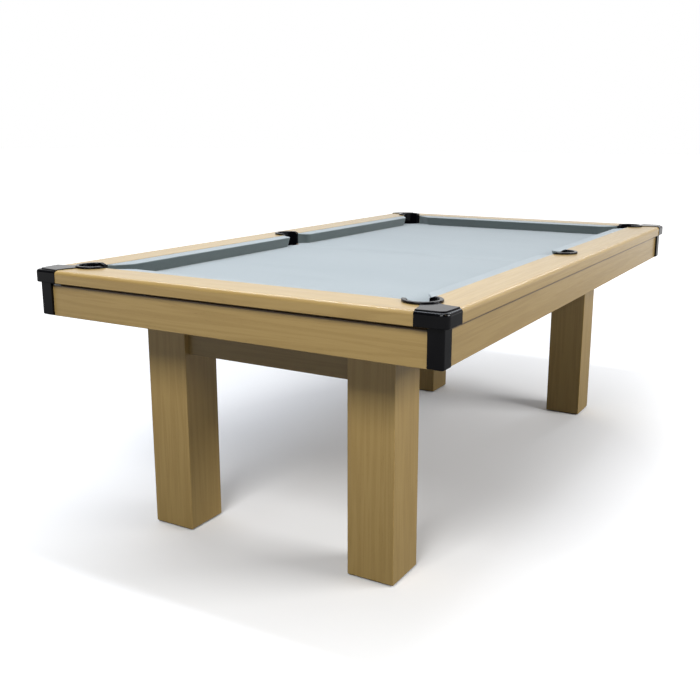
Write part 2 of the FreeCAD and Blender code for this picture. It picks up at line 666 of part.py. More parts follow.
def bracket_screws():
    """Two screws a bracket: one up into the bed and one out into the apron."""
    found = []
    flat_low = BED_BOTTOM - BRACKET_GAUGE
    z = BED_BOTTOM - BRACKET_SCREW
    for x, y, along in bracket_spots():
        if along == "x":
            s = 1 if y > 0 else -1
            found.append(bed_screw(x, y - s * BRACKET_SCREW, flat_low))
            found.append(lying_bolt(x, y - s * BRACKET_GAUGE, z, s * APRON_SCREW_LENGTH, WOOD_SCREW))
        else:
            s = 1 if x > 0 else -1
            found.append(bed_screw(x - s * BRACKET_SCREW, y, flat_low))
            screw = lying_bolt(y, x - s * BRACKET_GAUGE, z, s * APRON_SCREW_LENGTH, WOOD_SCREW)
            found.append(screw.mirror(ORIGIN, FreeCAD.Vector(1, -1, 0)))
    return found


def cup_screws(centre):
    """Three screws through a cup's flange into the bed board."""
    x, y = centre
    turns = [radians(a) for a in (90, 210, 330)]
    r = CUP_FLANGE - CUP_SCREW_INSET
    return [bed_screw(x + r * cos(a), y + r * sin(a), BED_BOTTOM - CUP_BASE) for a in turns]


# ---- the table ----
def build_fasteners():
    corner_centre, side_centre = pocket_centres()
    screws = bracket_screws()
    for end, side in CORNERS:
        screws += [place(screw, end, side) for screw in cup_screws(corner_centre)]
    for side in SIDES:
        screws += [place(screw, "left", side) for screw in cup_screws(side_centre)]
    return {"rail_bolts": rail_bolts(), "leg_bolts": leg_bolts(), "stretcher_bolts": stretcher_bolts(),
            "wood_screws": screws}


def build_parts():
    """Every node's shape, before the fasteners are let into it."""
    parts = {}
    long_rail, end_rail = rail(True), rail(False)
    trim = corner_trim([long_rail, end_rail])
    corner_centre, side_centre = pocket_centres()
    for side in SIDES:
        parts["rail_" + side] = place(long_rail, "left", side)
        parts["apron_" + side] = place(apron_long(), "left", side)
        parts["side_beam_" + side] = place(side_beam(), "left", side)
        parts["side_pocket_" + side] = place(side_pocket(), "left", side)
        parts["pocket_cup_side_" + side] = place(pocket_cup(side_centre), "left", side)
    for end in ENDS:
        parts["rail_" + end] = place(end_rail, end, "front")
        parts["apron_" + end] = place(apron_end(), end, "front")
        parts["cushion_" + end] = place(cushion_end(), end, "front")
        parts["end_stretcher_" + end] = place(end_stretcher(), end, "front")
    for end, side in CORNERS:
        spot = side + "_" + end
        parts["cushion_" + spot] = place(cushion_long(), end, side)
        parts["corner_trim_" + spot] = place(trim, end, side)
        parts["corner_pocket_" + spot] = place(corner_pocket(), end, side)
        parts["pocket_cup_" + spot] = place(pocket_cup(corner_centre), end, side)
        parts["leg_" + spot] = place(leg(), end, side)
        parts["leveller_pad_" + spot] = place(leveller_pad(), end, side)
        parts["leveller_stud_" + spot] = place(leveller_stud(), end, side)
    for x, name in zip(BEAM_X, BEAM_NAMES):
        parts["cross_beam_" + name] = cross_beam(x)
    parts["bed_board"] = bed_board()
    parts["bed_cloth"] = bed_cloth()
    return parts


def build_groups():
    """Identical small pieces that share a node, as lists of separate solids."""
    block = leg_inside(LEG_TOP - TOP_BLOCK, LEG_TOP)
    barrel = cylinder(TNUT_BARREL_RADIUS, -LEG_X, -LEG_Y, 0, FOOT_PLATE_TOP + OVERCUT)
    plate = leg_inside(FOOT_PLATE_BOTTOM, FOOT_PLATE_TOP).cut(barrel)
    return {
        "leg_top_blocks": [place(block, end, side) for end, side in CORNERS],
        "leg_foot_plates": [place(plate, end, side) for end, side in CORNERS],
        "leveller_tnuts": [place(leveller_tnut(), end, side) for end, side in CORNERS],
        "apron_brackets": [bracket(x, y, along) for x, y, along in bracket_spots()],
    }


def let_in(shape, fasteners):
    """Cut the fasteners that reach into a shape out of it."""
    hits = [f for f in fasteners if f.BoundBox.intersect(shape.BoundBox)]
    return shape.cut(hits) if hits else shape


def main():
    os.makedirs("parts", exist_ok=True)
    parts = build_parts()
    groups = build_groups()
    fasteners = build_fasteners()
    every = [f for group in fasteners.values() for f in group]
    moving = ("leveller_pad", "leveller_stud")
    for node, shape in parts.items():
        save(shape if node.startswith(moving) else let_in(shape, every), node)
    for node, pieces in groups.items():
        save(Part.makeCompound([let_in(piece, every) for piece in pieces]), node)
    for node, pieces in fasteners.items():
        save(Part.makeCompound(pieces), node)


main()
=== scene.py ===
"""Looks of the pool table: oak veneer, napped cloth, gloss black mouldings, and soft studio light."""
from math import ceil, cos, hypot, pi, radians, sin, tan

import bmesh
import bpy
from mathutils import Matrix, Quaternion, Vector
from mathutils.geometry import delaunay_2d_cdt


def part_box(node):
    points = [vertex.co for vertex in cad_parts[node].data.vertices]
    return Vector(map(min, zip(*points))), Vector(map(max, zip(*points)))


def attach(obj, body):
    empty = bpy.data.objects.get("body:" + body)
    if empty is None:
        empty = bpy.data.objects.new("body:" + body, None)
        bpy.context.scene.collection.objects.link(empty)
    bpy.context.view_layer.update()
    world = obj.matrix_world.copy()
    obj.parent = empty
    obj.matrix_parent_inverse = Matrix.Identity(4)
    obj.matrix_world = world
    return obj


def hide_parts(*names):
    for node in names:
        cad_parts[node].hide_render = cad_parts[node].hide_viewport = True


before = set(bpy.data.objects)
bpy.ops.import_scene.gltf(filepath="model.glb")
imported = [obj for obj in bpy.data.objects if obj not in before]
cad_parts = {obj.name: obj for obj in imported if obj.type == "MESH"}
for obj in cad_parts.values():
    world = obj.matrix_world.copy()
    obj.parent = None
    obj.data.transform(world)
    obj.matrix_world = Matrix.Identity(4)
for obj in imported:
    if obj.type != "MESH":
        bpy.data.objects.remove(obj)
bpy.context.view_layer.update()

ENDS = {"left": -1, "right": 1}
SIDES = {"front": -1, "back": 1}
CORNERS = [(end, side) for end in ENDS for side in SIDES]

# ---- sizes, in metres, read from the frame where its boxes give them ----
RAIL_LOW, RAIL_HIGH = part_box("rail_front")
HALF_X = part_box("rail_right")[1].x          # rails' outer faces
HALF_Y = -RAIL_LOW.y
RAIL_TOP = RAIL_HIGH.z
RAIL_WIDTH = RAIL_HIGH.y - RAIL_LOW.y       # rail's outer face to the back of the cushion
CLOTH_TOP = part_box("bed_cloth")[1].z
APRON_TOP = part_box("apron_front")[1].z
BED_HALF_X, BED_HALF_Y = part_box("bed_board")[1].xy
NOSE_OFFSET = HALF_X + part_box("cushion_left")[1].x  # rail's outer face to the cushion nose
CORNER_ROOT = HALF_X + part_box("cushion_front_left")[0].x  # corner to the cushion's end at its back
SIDE_ROOT = -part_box("cushion_front_left")[1].x
CORNER_SLANT = 0.065                        # how far the cushions' ends slant beside a corner pocket
SIDE_SLANT = 0.020                          # and beside a side pocket
CORNER_TIP = CORNER_ROOT + CORNER_SLANT     # the root's measure, at the nose
SIDE_TIP = SIDE_ROOT + SIDE_SLANT
CORNER_POCKET_INSET = 0.116                 # rail's outer face to the middle of a corner pocket
SIDE_POCKET_INSET = 0.100                   # the same, for a side pocket
SIDE_POCKET_Y = HALF_Y - SIDE_POCKET_INSET
BED_HOLE = 0.0435                           # radius of the pocket holes through the bed


# ---- node helpers ----
class Nodes:
    """A short way to wire one material's nodes."""

    def __init__(self, name):
        self.material = bpy.data.materials.new(name)
        self.material.use_nodes = True
        self.tree = self.material.node_tree
        self.shader = self.tree.nodes["Principled BSDF"]

    def add(self, kind, **settings):
        node = self.tree.nodes.new("ShaderNode" + kind)
        for key, value in settings.items():
            setattr(node, key, value)
        return node

    def put(self, value, socket):
        """Links an output to the socket, or sets the socket to a constant."""
        if isinstance(value, bpy.types.NodeSocket):
            self.tree.links.new(value, socket)
        else:
            socket.default_value = value

    def coordinates(self, scale=(1, 1, 1), offset=(0, 0, 0)):
        """The piece's own coordinates, scaled and then shifted."""
        place = self.add("TexCoord")
        mapping = self.add("Mapping")
        self.put(place.outputs["Object"], mapping.inputs["Vector"])
        self.put(scale, mapping.inputs["Scale"])
        self.put(offset, mapping.inputs["Location"])
        return mapping.outputs["Vector"]

    def noise(self, vector, scale, detail=4.0, roughness=0.5, distortion=0.0):
        node = self.add("TexNoise")
        self.put(vector, node.inputs["Vector"])
        self.put(scale, node.inputs["Scale"])
        self.put(detail, node.inputs["Detail"])
        self.put(roughness, node.inputs["Roughness"])
        self.put(distortion, node.inputs["Distortion"])
        return node.outputs["Fac"]

    def math(self, operation, a, b=0.0):
        node = self.add("Math", operation=operation)
        self.put(a, node.inputs[0])
        self.put(b, node.inputs[1])
        return node.outputs["Value"]

    def fit(self, value, low, high, to_low=0.0, to_high=1.0):
        """Maps low..high to to_low..to_high, clamped."""
        node = self.add("MapRange")
        self.put(value, node.inputs["Value"])
        for key, number in zip(("From Min", "From Max", "To Min", "To Max"), (low, high, to_low, to_high)):
            self.put(number, node.inputs[key])
        return node.outputs["Result"]

    def mix(self, factor, a, b, blend="MIX"):
        """Blends two colours."""
        node = self.add("Mix", data_type="RGBA", blend_type=blend)
        self.put(factor, node.inputs["Factor"])
        self.put(a, node.inputs[6])
        self.put(b, node.inputs[7])
        return node.outputs[2]

    def bump(self, height, strength, distance):
        node = self.add("Bump")
        self.put(height, node.inputs["Height"])
        self.put(strength, node.inputs["Strength"])
        self.put(distance, node.inputs["Distance"])
        self.put(node.outputs["Normal"], self.shader.inputs["Normal"])


def grey(level):
    return (level, level, level, 1.0)


def rgb(red, green, blue):
    return (red, green, blue, 1.0)


# ---- materials ----
def along(axis, length_scale, cross_scale):
    """Mapping scale with one value along the grain axis, and another across it."""
    return tuple(length_scale if k == axis else cross_scale for k in "XYZ")


SHADE_FADE_DEPTH = 0.0040          # where an apron's painted shade under the rail starts, down from its top
SHADE_FULL_DEPTH = 0.0015          # and where the painted shade is full


def oak(name, axis, seed, tone=1.0, painted_shade_edge=False):
    """Pale oak veneer: growth rings cut lengthwise, fine fibres, short pores and a satin lacquer.

    With the last argument set, an apron's top few millimetres are darkened as painted shade, standing for
    the shadow under the rail's overhang."""
    n = Nodes(name)
    shift = (seed * 1.37, seed * 2.11, seed * 0.73)
    base = n.coordinates(along(axis, 0.55, 7.0), shift)
    wander = n.noise(base, 1.3, 2.0)
    rings = n.noise(n.coordinates(along(axis, 0.9, 26.0), shift), 1.0, 3.0, 0.55, 0.35)
    bands = n.math("SINE", n.math("MULTIPLY", n.math("ADD", rings, n.math("MULTIPLY", wander, 0.6)), 34.0))
    bands = n.fit(bands, -1.0, 1.0)
    fibres = n.noise(n.coordinates(along(axis, 9.0, 520.0), shift), 1.0, 3.0, 0.6)
    pores = n.noise(n.coordinates(along(axis, 55.0, 900.0), shift), 1.0, 2.0, 0.5)
    pores = n.fit(pores, 0.60, 0.74)
    patches = n.noise(n.coordinates(along(axis, 1.2, 5.0), shift), 1.0, 2.0)

    light = rgb(0.450 * tone, 0.306 * tone, 0.108 * tone)
    dark = rgb(0.370 * tone, 0.240 * tone, 0.076 * tone)
    line = rgb(0.25 * tone, 0.150 * tone, 0.046 * tone)
    colour = n.mix(n.fit(bands, 0.15, 1.0, 0.0, 0.62), light, dark)
    colour = n.mix(n.fit(fibres, 0.35, 0.70, 0.0, 0.40), colour, dark)
    colour = n.mix(n.math("MULTIPLY", pores, n.fit(bands, 0.2, 0.9, 0.10, 0.50)), colour, line)
    patch = rgb(0.415 * tone, 0.272 * tone, 0.088 * tone)
    colour = n.mix(n.fit(patches, 0.30, 0.70, 0.0, 0.22), colour, patch)
    # painted shade: the apron's top few millimetres darken to the colour below, standing for the shadow
    # under the rail
    if painted_shade_edge:
        height = n.add("SeparateXYZ")
        n.put(n.coordinates(), height.inputs[0])
        edge = n.fit(height.outputs["Z"], APRON_TOP - SHADE_FADE_DEPTH, APRON_TOP - SHADE_FULL_DEPTH)
        colour = n.mix(edge, colour, rgb(0.115, 0.070, 0.026))
    n.put(colour, n.shader.inputs["Base Color"])
    n.put(n.fit(fibres, 0.3, 0.7, 0.30, 0.42), n.shader.inputs["Roughness"])
    n.put(0.55, n.shader.inputs["Coat Weight"])
    n.put(0.22, n.shader.inputs["Coat Roughness"])
    relief = n.math("SUBTRACT", n.math("MULTIPLY", fibres, 0.4), n.math("MULTIPLY", pores, 0.7))
    n.bump(relief, 0.16, 0.0005)
    return n.material


def cloth(name, seed, tone, painted_shade_tint):
    """Napped blue-grey cloth, with painted shade: multiplied by the last colour where it doesn't face
    upwards.
    """
    n = Nodes(name)
    shift = (seed * 3.1, seed * 1.7, seed * 0.9)
    nap = n.noise(n.coordinates((1500, 1500, 1500), shift), 1.0, 2.0, 0.7)
    lint = n.noise(n.coordinates((420, 420, 420), shift), 1.0, 3.0, 0.65)
    brushed = n.noise(n.coordinates((7, 1.6, 7), shift), 1.0, 3.0, 0.5, 0.4)
    light = rgb(0.365 * tone, 0.404 * tone, 0.412 * tone)
    dark = rgb(0.273 * tone, 0.311 * tone, 0.324 * tone)
    colour = n.mix(n.fit(nap, 0.30, 0.70), light, dark)
    colour = n.mix(n.fit(lint, 0.35, 0.75, 0.0, 0.35), colour, dark)
    streak = rgb(0.396 * tone, 0.434 * tone, 0.440 * tone)
    colour = n.mix(n.fit(brushed, 0.35, 0.68, 0.0, 0.30), colour, streak)
    # painted shade: faces that turn away from up, like the cushions' faces, are darkened by the last
    # colour
    upwards = n.add("SeparateXYZ")
    n.put(n.add("NewGeometry").outputs["Normal"], upwards.inputs[0])
    shade = n.mix(n.fit(upwards.outputs["Z"], 0.1, 0.8), painted_shade_tint, grey(1.0))
    colour = n.mix(1.0, colour, shade, "MULTIPLY")
    n.put(colour, n.shader.inputs["Base Color"])
    n.put(0.95, n.shader.inputs["Roughness"])
    n.put(0.5, n.shader.inputs["Sheen Weight"])
    n.put(0.40, n.shader.inputs["Sheen Roughness"])
    n.put(rgb(0.88, 0.95, 1.0), n.shader.inputs["Sheen Tint"])
    n.put(0.2, n.shader.inputs["Specular IOR Level"])
    height = n.math("ADD", nap, n.math("MULTIPLY", lint, 0.8))
    n.bump(height, 0.35, 0.0005)
    return n.material


def moulding(name, seed, gloss):
    """Black moulded plastic, glossy or matt, with faint flow marks and dust."""
    n = Nodes(name)
    shift = (seed * 0.7, seed * 1.9, seed * 2.3)
    flow = n.noise(n.coordinates((14, 14, 14), shift), 1.0, 3.0, 0.5, 0.6)
    grain = n.noise(n.coordinates((900, 900, 900), shift), 1.0, 2.0)
    dust = n.fit(n.noise(n.coordinates((260, 260, 260), shift), 1.0, 4.0, 0.7), 0.64, 0.82, 0.0, 0.02)
    colour = n.mix(n.fit(flow, 0.3, 0.7), rgb(0.002, 0.002, 0.0028), rgb(0.0035, 0.0035, 0.0045))
    colour = n.mix(dust, colour, rgb(0.16, 0.155, 0.15))
    n.put(colour, n.shader.inputs["Base Color"])
    low = 0.09 if gloss else 0.48
    n.put(n.fit(flow, 0.3, 0.7, low, low + 0.08), n.shader.inputs["Roughness"])
    n.put(0.22, n.shader.inputs["Specular IOR Level"])
    n.bump(n.math("ADD", grain, n.math("MULTIPLY", flow, 2.0)), 0.05 if gloss else 0.2, 0.0004)
    return n.material


def fibre_board(name, seed):
    """Unfinished fine-fibre board."""
    n = Nodes(name)
    shift = (seed, seed * 2.0, seed * 3.0)
    speck = n.noise(n.coordinates((650, 650, 650), shift), 1.0, 3.0, 0.7)
    cloud = n.noise(n.coordinates((9, 9, 9), shift), 1.0, 3.0)
    colour = n.mix(n.fit(speck, 0.35, 0.68), rgb(0.33, 0.215, 0.12), rgb(0.215, 0.135, 0.072))
    colour = n.mix(n.fit(cloud, 0.35, 0.65, 0.0, 0.3), colour, rgb(0.38, 0.26, 0.15))
    n.put(colour, n.shader.inputs["Base Color"])
    n.put(n.fit(speck, 0.3, 0.7, 0.70, 0.85), n.shader.inputs["Roughness"])
    n.bump(speck, 0.3, 0.0004)
    return n.material


def softwood(name, axis, seed):
    """Planed pine for the hidden beams and blocks."""
    n = Nodes(name)
    shift = (seed * 1.9, seed * 0.8, seed * 1.3)
    rings = n.noise(n.coordinates(along(axis, 0.5, 24.0), shift), 1.0, 2.0, 0.5, 0.3)
    bands = n.fit(n.math("SINE", n.math("MULTIPLY", rings, 46.0)), -1.0, 1.0)
    fibres = n.noise(n.coordinates(along(axis, 8.0, 480.0), shift), 1.0, 3.0, 0.6)
    colour = n.mix(n.fit(bands, 0.3, 1.0, 0.0, 0.7), rgb(0.60, 0.42, 0.22), rgb(0.42, 0.25, 0.11))
    colour = n.mix(n.fit(fibres, 0.35, 0.7, 0.0, 0.35), colour, rgb(0.40, 0.25, 0.12))
    n.put(colour, n.shader.inputs["Base Color"])
    n.put(n.fit(fibres, 0.3, 0.7, 0.55, 0.70), n.shader.inputs["Roughness"])
    n.bump(fibres, 0.3, 0.0005)
    return n.material


def zinc(name, seed):
    """Bright zinc plating with a faint spangle."""
    n = Nodes(name)
    shift = (seed, seed * 0.5, seed * 1.5)
    cloud = n.noise(n.coordinates((120, 120, 120), shift), 1.0, 3.0, 0.6)
    fine = n.noise(n.coordinates((1400, 1400, 1400), shift), 1.0, 2.0)
    colour = n.mix(n.fit(cloud, 0.3, 0.7), rgb(0.62, 0.63, 0.65), rgb(0.48, 0.49, 0.50))
    n.put(colour, n.shader.inputs["Base Color"])
    n.put(1.0, n.shader.inputs["Metallic"])
    n.put(n.fit(cloud, 0.3, 0.7, 0.30, 0.48), n.shader.inputs["Roughness"])
    n.bump(fine, 0.1, 0.0002)
    return n.material


# ---- giving the CAD nodes their materials ----
CAD_SHARP = 32.0            # degrees between faces, above which an edge stays sharp
CUSHION_SHARP = 50.0
CLOTH_SHARP = 60.0


def dress(node, material):
    """Puts a material on a CAD node, and shades its curved faces smooth."""
    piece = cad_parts[node]
    piece.data.materials.clear()
    piece.data.materials.append(material)
    soften(piece, CAD_SHARP)


def soften(piece, angle):
    """Smooth shading that keeps edges sharper than the angle, in degrees."""
    for polygon in piece.data.polygons:
        polygon.use_smooth = True
    piece.data.set_sharp_from_angle(angle=radians(angle))


def dress_wood():
    for k, side in enumerate(SIDES):
        dress("rail_" + side, oak("oak_rail_" + side, "X", 1 + k))
        dress("apron_" + side, oak("oak_apron_" + side, "X", 11 + k, painted_shade_edge=True))
        dress("side_beam_" + side, softwood("pine_beam_" + side, "X", 21 + k))
    for k, end in enumerate(ENDS):
        dress("rail_" + end, oak("oak_rail_" + end, "Y", 3 + k))
        dress("apron_" + end, oak("oak_apron_" + end, "Y", 13 + k, painted_shade_edge=True))
        # the stretchers' oak is darkened to 0.76 as painted shade, for the shade under the table
        dress("end_stretcher_" + end, oak("oak_stretcher_" + end, "Y", 15 + k, 0.76))
    for k, (end, side) in enumerate(CORNERS):
        # the legs' oak is lightened to 1.08 as painted light on their faces
        dress("leg_%s_%s" % (side, end), oak("oak_leg_%s_%s" % (side, end), "Z", 31 + k, 1.08))
    for k, name in enumerate(("left", "middle_left", "middle_right", "right")):
        dress("cross_beam_" + name, softwood("pine_cross_beam_" + name, "Y", 41 + k))
    dress("leg_top_blocks", softwood("pine_block", "X", 51))
    dress("leg_foot_plates", fibre_board("board_foot_plate", 52))
    dress("bed_board", fibre_board("board_bed", 53))


def dress_black():
    gloss = moulding("black_gloss", 3, True)
    matt = moulding("black_matt", 5, False)
    for end, side in CORNERS:
        spot = "%s_%s" % (side, end)
        dress("corner_trim_" + spot, gloss)
        dress("corner_pocket_" + spot, gloss)
        dress("pocket_cup_" + spot, matt)
        dress("leveller_pad_" + spot, matt)
    for side in SIDES:
        dress("side_pocket_" + side, gloss)
        dress("pocket_cup_side_" + side, matt)


STEEL_NODES = ("leveller_tnuts", "apron_brackets", "rail_bolts", "leg_bolts", "stretcher_bolts",
               "wood_screws")


def dress_steel():
    plated = zinc("zinc_plate", 2)
    for node in STEEL_NODES:
        dress(node, plated)
    for end, side in CORNERS:
        dress("leveller_stud_%s_%s" % (side, end), plated)


# ---- cushions ----
FOOT_BACK = 0.010           # nose to the foot of the cushion, in plan
NOSE_RADIUS = 0.003
NOSE_Z = CLOTH_TOP + 0.0345
CORNER_TIP_RADIUS = 0.050   # rounding of a cushion's end in plan, beside a corner pocket
SIDE_TIP_RADIUS = 0.022     # and beside a side pocket
GROOVE = 0.0016             # the cloth's tuck beside the wood
CUSHION_LIFT = 0.0003       # gap between the cushion and the bed cloth
BACK_DROP = 0.0006          # rail's top to the top of the cushion's back
BACK_GAP = 0.0002           # rail to the cushion's back
LEAST_GAP = 0.0001          # and the least from the rail to any point of the cushion
END_FADE = 0.03             # length over which a cushion's section narrows to its end
LEAST_FADE = 0.02           # share of the section that is left at the very end
PLAN_STEP = 0.012           # longest step along its plan


def rounded_plan(points, radii):
    """Plan path through four (s, u) points, with its two inner corners rounded."""
    path = [Vector(points[0])]
    for before, corner, after, radius in zip(points, points[1:], points[2:], radii):
        corner = Vector(corner)
        to_before = (Vector(before) - corner).normalized()
        to_after = (Vector(after) - corner).normalized()
        half = to_before.angle(to_after) / 2
        reach = radius / tan(half)
        middle = corner + (to_before + to_after).normalized() * (radius / sin(half))
        start, end = corner + to_before * reach, corner + to_after * reach
        first = start - middle
        turn = first.angle_signed(end - middle)
        steps = 9
        for k in range(steps + 1):
            angle = -turn * k / steps
            c, s = cos(angle), sin(angle)
            path.append(middle + Vector((first.x * c - first.y * s, first.x * s + first.y * c)))
    path.append(Vector(points[-1]))
    return path


def spaced(path, longest):
    """The path with extra points, so that no step is longer than `longest`."""
    made = [path[0]]
    for a, b in zip(path, path[1:]):
        steps = max(1, ceil((b - a).length / longest))
        made += [a.lerp(b, k / steps) for k in range(1, steps + 1)]
    return made


def cushion_loop(point, inward, fade):
    """Closed section of the cushion at one plan point, as (plan point, z) pairs.

    `inward` points into the cushion, and `fade` goes from 0 at its end to 1 along its length."""
    low = CLOTH_TOP + CUSHION_LIFT
    back = RAIL_TOP - BACK_DROP
    loop = [(point + inward * FOOT_BACK * fade, low)]
    centre = point + inward * NOSE_RADIUS * fade
    for k in range(9):      # round the nose, from 40 degrees below the level to straight up
        angle = radians(-40 + 130 * k / 8)
        reach = inward * (-cos(angle) * NOSE_RADIUS * fade)
        loop.append((centre + reach, NOSE_Z + NOSE_RADIUS * sin(angle)))
    nose, nose_z = loop[-1]
    anchor = Vector((point.x, RAIL_WIDTH + BACK_GAP))
    for share in (0.15, 0.35, 0.6, 0.8, 0.92):
        loop.append((nose.lerp(anchor, share), nose_z + (back - nose_z) * share))
    tuck = min(GROOVE, max(point.y - RAIL_WIDTH, 0.0) * 0.3)
    loop.append((Vector((anchor.x, RAIL_WIDTH + tuck)), back))
    loop.append((anchor, back - tuck * 0.9))
    loop.append((anchor, low))
    return [(Vector((p.x, max(p.y, RAIL_WIDTH + LEAST_GAP))), z) for p, z in loop]


def cushion_rows(plan):
    """The cushion's sections, one for each point of its plan path."""
    length = [0.0]
    for a, b in zip(plan, plan[1:]):
        length.append(length[-1] + (b - a).length)
    rows = []
    for k, point in enumerate(plan):
        tangent = (plan[min(k + 1, len(plan) - 1)] - plan[max(k - 1, 0)]).normalized()
        inward = Vector((tangent.y, -tangent.x))
        if inward.y > 0:
            inward = -inward
        from_end = min(length[k], length[-1] - length[k])
        fade = min(1.0, from_end / END_FADE)
        fade = fade * fade * (3 - 2 * fade)
        rows.append(cushion_loop(point, inward, max(fade, LEAST_FADE)))
    return rows


def build_cushion(name, node, place, stops, radii):
    """One cloth-covered cushion.

    `place` maps s along the rail, u in from its outer face, and z, to the frame. `stops` are the
    places along s of the cushion's root, tip, tip and root."""
    depths = (RAIL_WIDTH, NOSE_OFFSET, NOSE_OFFSET, RAIL_WIDTH)
    rows = cushion_rows(spaced(rounded_plan(list(zip(stops, depths)), radii), PLAN_STEP))
    vertices = [place(p.x, p.y, z) for row in rows for p, z in row]
    count = len(rows[0])
    faces = []
    for r in range(len(rows) - 1):
        for c in range(count):
            d = (c + 1) % count
            faces.append((r * count + c, r * count + d, (r + 1) * count + d, (r + 1) * count + c))
    faces.append(tuple(range(count)))
    faces.append(tuple(reversed(range((len(rows) - 1) * count, len(rows) * count))))
    piece = new_piece(name, vertices, faces)
    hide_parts(node)
    return piece


def new_piece(name, vertices, faces):
    """Mesh object with outward normals."""
    mesh = bpy.data.meshes.new(name)
    mesh.from_pydata([tuple(v) for v in vertices], [], faces)
    mesh.validate()
    piece = bpy.data.objects.new(name, mesh)
    bpy.context.scene.collection.objects.link(piece)
    turn_outwards(piece)
    return piece


def turn_outwards(piece):
    work = bmesh.new()
    work.from_mesh(piece.data)
    bmesh.ops.remove_doubles(work, verts=work.verts, dist=1e-6)
    bmesh.ops.recalc_face_normals(work, faces=work.faces)
    work.to_mesh(piece.data)
    work.free()


def make_cushions():
    # the last colour is painted shade on the cushions' faces that don't face upwards
    finish = cloth("cloth_cushion", 4, 0.90, rgb(0.38, 0.41, 0.395))
    for end, x_sign in ENDS.items():
        for side, y_sign in SIDES.items():
            spot = "%s_%s" % (side, end)

            def place(s, u, z, x_sign=x_sign, y_sign=y_sign):
                return (x_sign * (HALF_X - s), y_sign * (HALF_Y - u), z)

            stops = (CORNER_ROOT, CORNER_TIP, HALF_X - SIDE_TIP, HALF_X - SIDE_ROOT)
            radii = (CORNER_TIP_RADIUS, SIDE_TIP_RADIUS)
            piece = build_cushion("cloth_cushion_" + spot, "cushion_" + spot, place, stops, radii)
            finish_cushion(piece, finish)

        def place_end(s, u, z, x_sign=x_sign):
            return (x_sign * (HALF_X - u), s - HALF_Y, z)

        far = 2 * HALF_Y
        stops = (CORNER_ROOT, CORNER_TIP, far - CORNER_TIP, far - CORNER_ROOT)
        radii = (CORNER_TIP_RADIUS, CORNER_TIP_RADIUS)
        piece = build_cushion("cloth_cushion_" + end, "cushion_" + end, place_end, stops, radii)
        finish_cushion(piece, finish)


def finish_cushion(piece, material):
    piece.data.materials.append(material)
    soften(piece, CUSHION_SHARP)
    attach(piece, "table")


# ---- bed cloth ----
HOLE_STEPS = 96             # points round a pocket's hole
CLOTH_ROLL = 0.004          # radius of the cloth's roll over a hole's edge
CLOTH_DROP = 0.010          # how far it goes straight down inside
CLOTH_THICKNESS = 0.0008


def pocket_spots():
    x, y = HALF_X - CORNER_POCKET_INSET, HALF_Y - CORNER_POCKET_INSET
    spots = [(sx * x, sy * y) for sx in (1, -1) for sy in (1, -1)]
    return spots + [(0.0, SIDE_POCKET_Y), (0.0, -SIDE_POCKET_Y)]


def circle(centre, radius, steps):
    return [(centre[0] + radius * cos(2 * pi * k / steps), centre[1] + radius * sin(2 * pi * k / steps))
            for k in range(steps)]


def make_bed_cloth():
    """The cloth as one sheet, rolled over the edge of each pocket's hole."""
    steps, roll = HOLE_STEPS, CLOTH_ROLL
    outline = [(-BED_HALF_X, -BED_HALF_Y), (BED_HALF_X, -BED_HALF_Y), (BED_HALF_X, BED_HALF_Y),
               (-BED_HALF_X, BED_HALF_Y)]
    points = [Vector(p) for p in outline]
    loops = [list(range(4))]
    for spot in pocket_spots():
        ring = circle(spot, BED_HOLE + roll, steps)
        loops.append(list(range(len(points), len(points) + steps)))
        points += [Vector(p) for p in ring]
    edges = [(loop[k], loop[(k + 1) % len(loop)]) for loop in loops for k in range(len(loop))]
    flat, _, triangles, *_ = delaunay_2d_cdt(points, edges, [], 0, 1e-7)
    top = CLOTH_TOP
    vertices = [(p.x, p.y, top) for p in flat]
    faces = [tuple(t) for t in triangles if not in_pocket(flat, t)]
    area = 4 * BED_HALF_X * BED_HALF_Y
    for spot in pocket_spots():
        area -= pi * (BED_HOLE + roll) ** 2
        first = nearest_ring(flat, spot, BED_HOLE + roll, steps)
        previous = first
        for k in range(1, 7):
            angle = radians(15 * k)
            radius = BED_HOLE + roll - roll * sin(angle)
            z = top - roll + roll * cos(angle)
            previous = add_ring(vertices, faces, previous, spot, radius, z, steps)
        previous = add_ring(vertices, faces, previous, spot, BED_HOLE, top - roll - CLOTH_DROP, steps)
        area += 2 * pi * BED_HOLE * (CLOTH_DROP + roll * pi / 2)
    piece = new_piece("cloth_bed", vertices, faces)
    thicken = piece.modifiers.new("thickness", "SOLIDIFY")
    thicken.thickness = CLOTH_THICKNESS
    thicken.offset = -1.0
    piece.data.materials.append(cloth("cloth_bed", 1, 0.87, grey(1.0)))
    soften(piece, CLOTH_SHARP)
    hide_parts("bed_cloth")
    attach(piece, "table")
    return piece, area


def in_pocket(flat, triangle):
    middle = sum((flat[k] for k in triangle), Vector((0, 0))) / len(triangle)
    return any(hypot(middle.x - x, middle.y - y) < BED_HOLE for x, y in pocket_spots())


def nearest_ring(flat, spot, radius, steps):
    """Indices of the sheet's points round one pocket, in order of angle."""
    found = []
    for x, y in circle(spot, radius, steps):
        found.append(min(range(len(flat)), key=lambda i: (flat[i].x - x) ** 2 + (flat[i].y - y) ** 2))
    return found


def add_ring(vertices, faces, previous, spot, radius, z, steps):
    start = len(vertices)
    vertices += [(x, y, z) for x, y in circle(spot, radius, steps)]
    ring = list(range(start, start + steps))
    for k in range(steps):
        j = (k + 1) % steps
        faces.append((previous[k], previous[j], ring[j], ring[k]))
    return ring


# ---- stage ----
BACKDROP_WAY = (0.87, 0.49, 0.0)    # from the table towards the bright end of the studio


